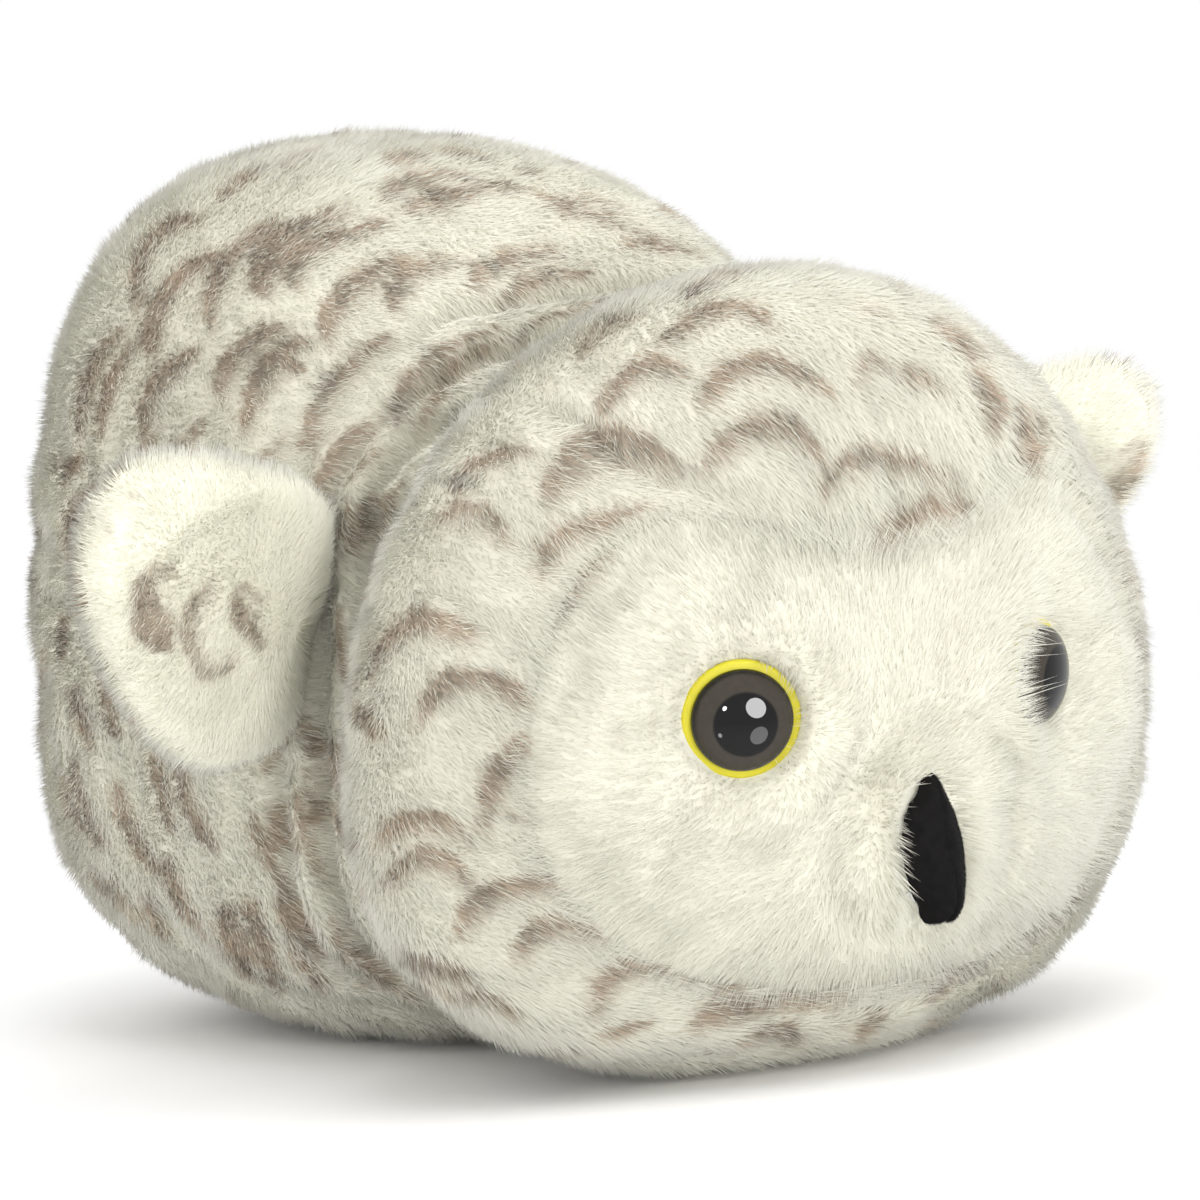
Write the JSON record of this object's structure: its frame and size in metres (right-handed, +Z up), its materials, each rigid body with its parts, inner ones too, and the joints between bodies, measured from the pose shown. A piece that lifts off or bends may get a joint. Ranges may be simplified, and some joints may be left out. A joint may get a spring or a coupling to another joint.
{
  "type": "plush owl",
  "caption": "Stuffed toy owl lying on its belly, with a round head, short hinged wings, domed eyes with a yellow rim and a black velvet beak.",
  "frame": {"origin": "on the floor, under the middle of the bounding box", "axes": "+Z up, -Y towards the beak, +X towards the owl's own left wing"},
  "size_m": [0.268, 0.2698, 0.1897],
  "materials": {
    "cream_plush": "short soft pile, cream-white",
    "spotted_plush": "short soft pile, cream-white with taupe crescents",
    "stuffing": "loose polyester fibre",
    "black_velvet": "black velvet",
    "dark_plastic": "polished clear face over a dark iris",
    "yellow_plastic": "smooth yellow",
    "washer_plastic": "moulded"
  },
  "bodies": {
    "torso": {"face_panel": "cream_plush", "left_hood_panel": "spotted_plush", "right_hood_panel": "spotted_plush", "left_body_panel": "spotted_plush", "right_body_panel": "spotted_plush", "belly_panel": "cream_plush", "head_stuffing": "stuffing", "body_stuffing": "stuffing", "left_beak_panel": "black_velvet", "right_beak_panel": "black_velvet", "beak_stuffing": "stuffing", "left_eye_dome": "dark_plastic", "left_eye_ring": "yellow_plastic", "left_eye_washer": "washer_plastic", "right_eye_dome": "dark_plastic", "right_eye_ring": "yellow_plastic", "right_eye_washer": "washer_plastic"},
    "left_wing": {"left_wing_front_panel": "cream_plush", "left_wing_back_panel": "spotted_plush", "left_wing_stuffing": "stuffing"},
    "right_wing": {"right_wing_front_panel": "cream_plush", "right_wing_back_panel": "spotted_plush", "right_wing_stuffing": "stuffing"}
  },
  "joints": [
    {"name": "left_wing_hinge", "type": "hinge", "parent": "torso", "child": "left_wing", "pos_m": [0.07036, -0.01728, 0.09642], "axis": [-0.1402, -0.275, 0.9512], "range_deg": [-35, 65], "stiffness_Nm_per_rad": 0.05},
    {"name": "right_wing_hinge", "type": "hinge", "parent": "torso", "child": "right_wing", "pos_m": [-0.07036, -0.01728, 0.09642], "axis": [-0.1402, 0.275, -0.9512], "range_deg": [-35, 65], "stiffness_Nm_per_rad": 0.05}
  ]
}
